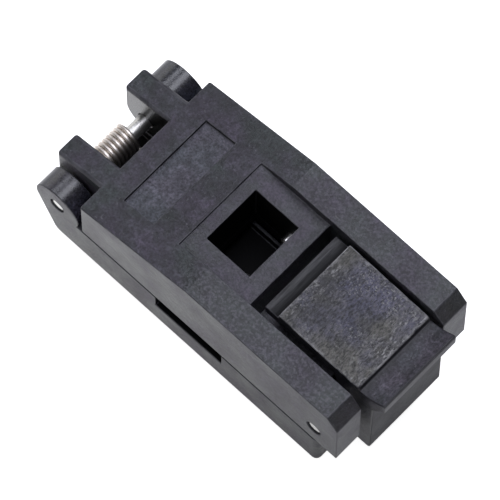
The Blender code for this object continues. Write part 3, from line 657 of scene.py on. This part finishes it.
def tube(name, path, radius, sides=14):
    """Round wire along a path, with closed ends, as a mesh."""
    curve = bpy.data.curves.new(name, "CURVE")
    curve.dimensions = "3D"
    curve.bevel_depth = radius
    curve.bevel_resolution = (sides - 2) // 2
    curve.use_fill_caps = True
    spline = curve.splines.new("POLY")
    spline.points.add(len(path) - 1)
    for point, place in zip(spline.points, path):
        point.co = (*place, 1.0)
    holder = bpy.data.objects.new(name + "_path", curve)
    bpy.context.scene.collection.objects.link(holder)
    bpy.context.view_layer.update()
    mesh = bpy.data.meshes.new_from_object(holder.evaluated_get(bpy.context.evaluated_depsgraph_get()))
    bpy.data.objects.remove(holder)
    mesh.name = name
    mesh.materials.clear()
    mesh.shade_smooth()
    piece = bpy.data.objects.new(name, mesh)
    bpy.context.scene.collection.objects.link(piece)
    return piece


LID_WIRE = 0.27 * MM
LID_COIL = 1.52 * MM
LID_TURNS = 7.5
LID_PITCH = 0.575 * MM
LID_COIL_START = -3.08 * MM
LID_LEG = 5.0 * MM
LID_STEPS_PER_TURN = 40


def make_lid_spring():
    """Torsion spring round the hinge pin."""
    count = int(LID_TURNS * LID_STEPS_PER_TURN)
    end = LID_COIL_START + LID_TURNS * LID_PITCH
    path = [HINGE + Vector((LID_LEG, LID_COIL_START, LID_COIL))]
    for i in range(count + 1):
        angle = math.pi / 2 + 2 * math.pi * LID_TURNS * i / count
        y = LID_COIL_START + (end - LID_COIL_START) * i / count
        path.append(HINGE + Vector((LID_COIL * math.cos(angle), y, LID_COIL * math.sin(angle))))
    path.append(HINGE + Vector((LID_LEG, end, -LID_COIL)))
    spring = tube("lid_torsion_spring", path, LID_WIRE)
    spring.data.materials.append(LID_SPRING)
    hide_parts("lid_spring")
    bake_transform(spring)


LATCH_WIRE = 0.2 * MM
LATCH_COIL = 1.3 * MM
LATCH_TURNS = 4.5
LATCH_FLAT_TURN = 0.5
LATCH_STEPS_PER_TURN = 28


def make_latch_spring(node):
    """Compression spring under the latch plate, flat at both ends."""
    low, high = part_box(node)
    centre = (low + high) / 2
    bottom = low.z + LATCH_WIRE
    top = high.z - LATCH_WIRE
    count = int(LATCH_TURNS * LATCH_STEPS_PER_TURN)
    climbing_turns = LATCH_TURNS - 2 * LATCH_FLAT_TURN
    path = []
    for i in range(count + 1):
        share = i / count
        angle = 2 * math.pi * LATCH_TURNS * share
        climb = min(1.0, max(0.0, (share * LATCH_TURNS - LATCH_FLAT_TURN) / climbing_turns))
        offset = Vector((LATCH_COIL * math.cos(angle), LATCH_COIL * math.sin(angle), 0))
        path.append(Vector((centre.x, centre.y, bottom + (top - bottom) * climb)) + offset)
    spring = tube(node + "_wire", path, LATCH_WIRE, sides=10)
    spring.data.materials.append(LATCH_SPRING)
    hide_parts(node)
    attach(spring, "lid")
    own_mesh(spring)


# Zones of the mouldings. All places in these tests are in millimetres.

# Share of a normal along an axis: over FACING it looks along the axis, over LEANING it leans that way, and
# a wall's is under UPRIGHT along Z
FACING = 0.9
LEANING = 0.3
UPRIGHT = 0.5

WINDOW_HALF_LENGTH = 3.3
WINDOW_HALF_WIDTH = 4.0
WINDOW_TOP = 14.9
RECESS_HALF_WIDTH = 7.5
RECESS_BOTTOM = 12.0
RECESS_FRONT = 5.0
LABEL_REAR = -13.2
LABEL_FRONT = -8.0
LABEL_LEAST_DEPTH = 0.2
SLOPE_TOP_X = -7.5
SLOPE_TOP_Z = 14.66
SLOPE = 0.2143
ARM_BEVEL_REAR = 18.0
LUG_FRONT = -16.2
LUG_HALF_WIDTH = 3.9

EARS_FRONT = -15.9
EAR_ROUND_FRONT = -16.0
EAR_INNER_SIDE = 7.1
EAR_ROUND_BOTTOM = 6.0
REAR_CUT_BOTTOM = 1.0
BASE_OUTER_SIDE = 9.7
BASE_INNER_FRONT = 18.5
BASE_UNDERSIDE = 0.2
BASE_UPPER = 4.5

PLATE_LEVEL = 14.9
LIP_BOTTOM = 12.5
LEG_REAR = 19.0


def lid_inside(middle, normal):
    """Walls of the window and of the recesses in the lid."""
    x, y, z = middle
    window = abs(x) < WINDOW_HALF_LENGTH and abs(y) < WINDOW_HALF_WIDTH and z < WINDOW_TOP
    recess = LABEL_REAR < x < RECESS_FRONT and abs(y) < RECESS_HALF_WIDTH and z > RECESS_BOTTOM
    return abs(normal.z) < UPRIGHT and (window or recess)


def lid_underside(middle, normal):
    """The lid's underside."""
    return normal.z < -FACING


def lid_chamfer(middle, normal):
    """The bevelled front ends of the arms."""
    return normal.x > LEANING and normal.z > LEANING and middle.x > ARM_BEVEL_REAR


def label_floor(middle, normal):
    """Floor of the label recess, which lies under the lid's slope."""
    slope = SLOPE_TOP_Z + (middle.x - SLOPE_TOP_X) * SLOPE
    return normal.z > FACING and LABEL_REAR < middle.x < LABEL_FRONT and middle.z < slope - LABEL_LEAST_DEPTH


def lug_inside(middle, normal):
    """The lugs' faces towards each other."""
    return abs(normal.y) > FACING and abs(middle.y) < LUG_HALF_WIDTH and middle.x < LUG_FRONT


def base_inside(middle, normal):
    """Everything between the base's outer faces, and between its ears."""
    x, y, z = middle
    if x < EARS_FRONT:
        return abs(y) < EAR_INNER_SIDE and z > REAR_CUT_BOTTOM and normal.x > -LEANING
    inner = abs(y) < BASE_OUTER_SIDE and x < BASE_INNER_FRONT and z > BASE_UNDERSIDE
    return inner and not base_top(middle, normal)


def base_top(middle, normal):
    """The base's top faces under the lid."""
    return normal.z > FACING and middle.z > BASE_UPPER


def ear_round(middle, normal):
    """The round faces of the ears, which the lid and fingers have polished."""
    x, y, z = middle
    outer = x < EAR_ROUND_FRONT and abs(y) > EAR_INNER_SIDE and z > EAR_ROUND_BOTTOM
    return outer and abs(normal.y) < LEANING


def plate_top(middle, normal):
    """The pressing face of the latch."""
    return normal.z > FACING and PLATE_REAR < middle.x * MM < PLATE_FRONT and middle.z > PLATE_LEVEL


def ledge_top(middle, normal):
    """The step behind the pressing face."""
    return normal.z > FACING and middle.x * MM < PLATE_REAR


def lip_top(middle, normal):
    """The raised lip in front of the pressing face."""
    return normal.z > LEANING and middle.x * MM > PLATE_FRONT and middle.z > LIP_BOTTOM


def leg_face(middle, normal):
    """The leg's faces, below the lip."""
    return middle.z < LIP_BOTTOM and middle.x > LEG_REAR


CONTACTS_PER_SIDE = 8


def make_pieces():
    """Every shown piece of the socket, with its finish."""
    lid_zones = (
        # Painted shade: the walls of the window and recesses are painted near black
        (INNER_SHADE_BLACK, lid_inside),
        (LABEL_BLACK, label_floor),
        (LUG_BLACK, lug_inside),
        # Painted shade: the arms' bevelled ends get a darker copy of the plastic
        (CHAMFER_SHADE_BLACK, lid_chamfer),
        # Painted shade: the lid's underside gets a darker copy of the plastic
        (UNDER_SHADE_BLACK, lid_underside),
    )
    lid = dressed_copy(
        "lid_cover", "lid_moulding", LID_BLACK, lid_zones, LID_EDGE, width=0.11 * MM, softer=lug_edge,
    )
    base_zones = (
        # Painted shade: the base's inside and the space between its ears are painted near black
        (INNER_SHADE_BLACK, base_inside),
        # Painted shade: the base's top under the lid gets a darker copy of the plastic
        (UNDER_SHADE_BLACK, base_top),
        (EAR_BLACK, ear_round),
    )
    base = dressed_copy(
        "base_housing", "base_moulding", BASE_BLACK, base_zones, BASE_EDGE, width=0.12 * MM,
    )
    # Painted shade: the pusher, seen only through the window, is painted near black
    pusher = dressed_copy("lead_pusher", "pusher_frame", PUSHER_SHADE_BLACK, edges=PUSHER_SHADE_BLACK, width=0.08 * MM)
    latch_zones = (
        (PLATE_GREY, plate_top),
        (LEDGE_BLACK, ledge_top),
        # Painted shade: the leg below the lip gets a darker copy of the plastic
        (LEG_SHADE_BLACK, leg_face),
        (LIP_BLACK, lip_top),
    )
    latch = dressed_copy(
        "latch", "latch_moulding", LATCH_BLACK, latch_zones, LATCH_EDGE, width=0.14 * MM,
    )
    make_lid_spring()
    for side in ("left", "right"):
        make_latch_spring("latch_spring_" + side)
        for index in range(1, CONTACTS_PER_SIDE + 1):
            node = f"contact_{side}_{index}"
            contact = dressed_copy(node, "spring_" + node, GOLD, width=0.04 * MM, segments=2)
        stub = dressed_copy(
            "pusher_pin_" + side, "pusher_stub_" + side, BRIGHT_STEEL, width=0.24 * MM, sharp=40.0,
        )
    for node, name in (("hinge_pin", "hinge_axle"), ("latch_pin", "latch_axle")):
        axle = dressed_copy(node, name, STEEL, width=0.05 * MM, segments=2, sharp=25.0)


# Table and light

TABLE_HALF = 1.5
TABLE_WHITE = (0.82, 0.82, 0.82)
TABLE_SEEN = 0.92
ROOM_SEEN = 1.0
ROOM_REFLECTED = 0.06

# Places along X in millimetres, and how bright the table looks in a reflection there: painted reflections,
# bright just behind the hinge end and dim as painted shade near the latch end
PAINTED_REFLECTION_GLOW = ((-60.0, 0.30), (-38.0, 0.45), (-28.0, 1.10), (30.0, 0.28), (120.0, 0.95))

WHITE = (1.0, 1.0, 1.0)
COOL_WHITE = (0.95, 0.97, 1.08)


def make_floor():
    """White table. It glows plain white to the camera, and the socket's shadow on it stays faint."""
    mesh = bpy.data.meshes.new("table")
    signs = ((-1, -1), (1, -1), (1, 1), (-1, 1))
    corners = [(x * TABLE_HALF, y * TABLE_HALF, TABLE_LEVEL) for x, y in signs]
    mesh.from_pydata(corners, [], [(0, 1, 2, 3)])
    table = bpy.data.objects.new("table", mesh)
    bpy.context.scene.collection.objects.link(table)
    nodes = Finish("white_table")
    path = nodes.add("ShaderNodeLightPath")
    seen = nodes.math("MULTIPLY", nodes.seen_directly(path), TABLE_SEEN)
    split = nodes.add("ShaderNodeSeparateXYZ")
    nodes.feed(split.inputs["Vector"], nodes.place)
    along = nodes.add("ShaderNodeMapRange")
    first, last = PAINTED_REFLECTION_GLOW[0][0], PAINTED_REFLECTION_GLOW[-1][0]
    along.inputs["From Min"].default_value = first * MM
    along.inputs["From Max"].default_value = last * MM
    nodes.feed(along.inputs["Value"], split.outputs["X"])
    stops = tuple(((x - first) / (last - first), level) for x, level in PAINTED_REFLECTION_GLOW)
    # Painted reflection: the table's glow in reflections follows these levels along X
    reflected = nodes.ramp(along.outputs["Result"], stops)
    glow = nodes.math("MULTIPLY_ADD", path.outputs["Is Glossy Ray"], reflected, seen)
    nodes.set(colour=TABLE_WHITE, roughness=0.9, specular=0.1, glow_colour=WHITE, glow=glow)
    mesh.materials.append(nodes.material)


def soft_box(name, place, size, radiance, colour=WHITE):
    """Area light that faces the socket, as bright as a white card times the radiance."""
    data = bpy.data.lights.new(name, "AREA")
    data.shape = "RECTANGLE"
    data.size, data.size_y = size
    data.energy = radiance * math.pi * size[0] * size[1]
    data.color = colour
    light = bpy.data.objects.new(name, data)
    light.location = place
    light.rotation_mode = "QUATERNION"
    light.rotation_quaternion = (Vector(place) - AIM).to_track_quat("Z", "Y")
    light.visible_camera = False
    bpy.context.scene.collection.objects.link(light)


def make_light():
    """Long box overhead, a small one behind it, a strip low at the rear and a weak box on the near side.

    The room is white where it is seen directly, and dim in reflections.
    """
    world = bpy.data.worlds.new("room")
    nodes = Nodes(world)
    seen = nodes.seen_directly(nodes.add("ShaderNodeLightPath"))
    room = nodes.tree.nodes["Background"]
    nodes.feed(room.inputs["Color"], WHITE)
    nodes.feed(room.inputs["Strength"], nodes.spread(seen, ROOM_REFLECTED, ROOM_SEEN))
    bpy.context.scene.world = world
    soft_box("overhead_box", (-0.05, 0.24, 0.87), size=(0.36, 1.2), radiance=4.2, colour=COOL_WHITE)
    soft_box("rear_box", (-0.53, 0.25, 0.75), size=(0.26, 0.24), radiance=4.6, colour=COOL_WHITE)
    soft_box("rear_strip", (-0.80, 0.20, 0.14), size=(0.20, 0.7), radiance=1.6)
    soft_box("near_box", (-0.25, -0.75, 0.45), size=(0.6, 0.5), radiance=1.1)


bpy.context.scene.view_settings.view_transform = "Standard"
make_camera()
make_pieces()
make_floor()
make_light()
